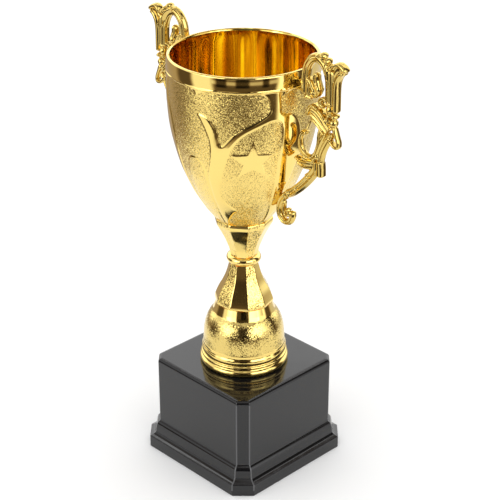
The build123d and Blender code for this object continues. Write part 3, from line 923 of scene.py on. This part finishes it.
def flat_ring(name, inner, outer, steps=96):
    """A level ring of floor between two radii."""
    faces = [(k, (k + 1) % steps, steps + (k + 1) % steps, steps + k) for k in range(steps)]
    mesh = bpy.data.meshes.new(name)
    mesh.from_pydata(round_ring(inner / MM, 0, steps) + round_ring(outer / MM, 0, steps), [], faces)
    mesh.materials.append(floor_paper)
    ring = bpy.data.objects.new(name, mesh)
    bpy.context.scene.collection.objects.link(ring)
    return ring


# polished parts see the near floor, and beyond it the studio instead of the far floor
table = flat_ring("table", table_centre, table_reach)
floor = flat_ring("floor", table_reach, floor_reach)
floor.visible_glossy = False

camera_azimuth = math.radians(45.5)
world = bpy.data.worlds.new("studio")
bpy.context.scene.world = world
world.use_nodes = True
nodes = world.node_tree.nodes
links = world.node_tree.links
backdrop = nodes["Background"]


def value_node(operation, *values):
    """A maths node whose inputs are numbers or the outputs of other nodes."""
    node = nodes.new("ShaderNodeMath")
    node.operation = operation
    for place, value in enumerate(values):
        if isinstance(value, bpy.types.NodeSocket):
            links.new(value, node.inputs[place])
        else:
            node.inputs[place].default_value = value
    return node.outputs[0]


def ramp(value, start, end, low=0.0, high=1.0):
    """A smooth step from low to high as value goes from start to end."""
    node = nodes.new("ShaderNodeMapRange")
    node.interpolation_type = "SMOOTHSTEP"
    for label, number in (("From Min", start), ("From Max", end), ("To Min", low), ("To Max", high)):
        node.inputs[label].default_value = number
    links.new(value, node.inputs["Value"])
    return node.outputs["Result"]


# each direction's bearing from the camera's side of the cup, and its rise above the horizon
look = nodes.new("ShaderNodeTexCoord")
parts = nodes.new("ShaderNodeSeparateXYZ")
links.new(look.outputs["Generated"], parts.inputs[0])
toward = value_node("ADD", value_node("MULTIPLY", parts.outputs["X"], math.sin(camera_azimuth)),
                    value_node("MULTIPLY", parts.outputs["Y"], -math.cos(camera_azimuth)))
across = value_node("ADD", value_node("MULTIPLY", parts.outputs["X"], math.cos(camera_azimuth)),
                    value_node("MULTIPLY", parts.outputs["Y"], math.sin(camera_azimuth)))
bearing = value_node("ARCTAN2", across, toward)
rise = value_node("ARCSINE", parts.outputs["Z"])


def patch(left, right, bottom, top, level, soft=6.0):
    """A lit area of the studio between two bearings and two heights, in degrees, with soft edges."""
    half = math.radians(soft) / 2
    sides = value_node("MULTIPLY", ramp(bearing, math.radians(left) - half, math.radians(left) + half),
                       ramp(bearing, math.radians(right) + half, math.radians(right) - half))
    ends = value_node("MULTIPLY", ramp(rise, math.radians(bottom) - half, math.radians(bottom) + half),
                      ramp(rise, math.radians(top) + half, math.radians(top) - half))
    return value_node("MULTIPLY", value_node("MULTIPLY", sides, ends), level)


fine_stripes = value_node("ADD", value_node("SINE", value_node("MULTIPLY", bearing, 26.0)),
                          value_node("SINE", value_node("MULTIPLY_ADD", bearing, 41.0, 1.0)))
fine_stripes = ramp(fine_stripes, -0.4, 0.9, 0.2, 1.6)
high = ramp(rise, math.radians(31), math.radians(37))
striped = value_node("ADD", value_node("SUBTRACT", 1.0, high), value_node("MULTIPLY", high, fine_stripes))
back_wall = [patch(-200, -112, 2, 62, 1.75, 14), patch(112, 200, 2, 62, 1.75, 14)]
studio = [value_node("MULTIPLY", wall, striped) for wall in back_wall]
studio += [
    # the floor behind, then both side walls
    patch(-200, -112, -60, 2, 0.32, 14),
    patch(112, 200, -60, 2, 0.6, 14),
    patch(52, 84, -50, 46, 1.5, 10),
    patch(-80, -46, -50, 50, 1.0, 10),
    patch(-112, -70, 10, 44, 1.0, 14),
    # the two softboxes in front
    patch(-64, -28, 2, 36, 2.4, 7),
    patch(19, 56, 2, 38, 3.0, 7),
    # above the camera, and two strips of floor before it
    patch(-46, 50, 44, 60, 0.8, 8),
    patch(-46, 50, -14, -7, 0.5, 4),
    patch(-46, 50, -50, -34, 0.4, 8),
]
banks = ramp(value_node("SINE", value_node("MULTIPLY_ADD", bearing, 11.0, 0.7)), -0.3, 0.5, 0.15, 1.0)
overhead = value_node("MULTIPLY", ramp(rise, math.radians(58), math.radians(68)), banks)
stands = [
    patch(-40, -24, -20, 3, 1.0, 4),
    patch(-11, 9, -20, 12, 1.0, 4),
    patch(28, 38, -20, 1, 1.0, 4),
    patch(61, 74, -20, 0, 1.0, 5),
]
stand_dark = 0.9
room_white = 1.22
light = value_node("ADD", overhead, ramp(rise, 0.0, math.radians(14), 0.10, 0.045))
for lit in studio:
    light = value_node("ADD", light, lit)
for stand in stands:
    left_over = value_node("SUBTRACT", 1.0, value_node("MULTIPLY", stand, stand_dark))
    light = value_node("MULTIPLY", light, left_over)
seen = nodes.new("ShaderNodeLightPath")
level = nodes.new("ShaderNodeMix")
level.data_type = "FLOAT"
links.new(seen.outputs["Is Glossy Ray"], level.inputs["Factor"])
level.inputs["A"].default_value = room_white
links.new(light, level.inputs["B"])
links.new(level.outputs["Result"], backdrop.inputs["Strength"])
# the unlit parts of the room are warm brown
tint = nodes.new("ShaderNodeMix")
tint.data_type = "RGBA"
tint.inputs["A"].default_value = (1.0, 0.74, 0.55, 1)
tint.inputs["B"].default_value = (1.0, 1.0, 1.0, 1)
links.new(ramp(level.outputs["Result"], 0.05, 0.9), tint.inputs["Factor"])
links.new(tint.outputs["Result"], backdrop.inputs["Color"])


# ==== Camera ==========================================================================================
# A long lens in front of the cup and to its right, looking down on it by some 27 degrees. It is aimed
# near the middle of the cup's height, a few millimetres off its axis.

camera_elevation = math.radians(26.87)
camera_distance = 0.8401
camera_side = 3.56 * MM
camera_height = 131.2 * MM
camera_data = bpy.data.cameras.new("camera")
camera_data.sensor_width = 36.0
camera_data.lens = 105.2
camera_data.clip_start = 0.05
camera_data.clip_end = 20.0
camera = bpy.data.objects.new("camera", camera_data)
bpy.context.scene.collection.objects.link(camera)
aim = Vector((math.cos(camera_azimuth), math.sin(camera_azimuth), 0)) * camera_side
aim.z = camera_height
back = Vector((math.sin(camera_azimuth) * math.cos(camera_elevation),
               -math.cos(camera_azimuth) * math.cos(camera_elevation),
               math.sin(camera_elevation)))
camera.location = aim + back * camera_distance
camera.rotation_euler = back.to_track_quat("Z", "Y").to_euler()
bpy.context.scene.camera = camera
bpy.context.scene.view_settings.view_transform = "Standard"
bpy.context.scene.cycles.max_bounces = 16
bpy.context.scene.cycles.glossy_bounces = 14
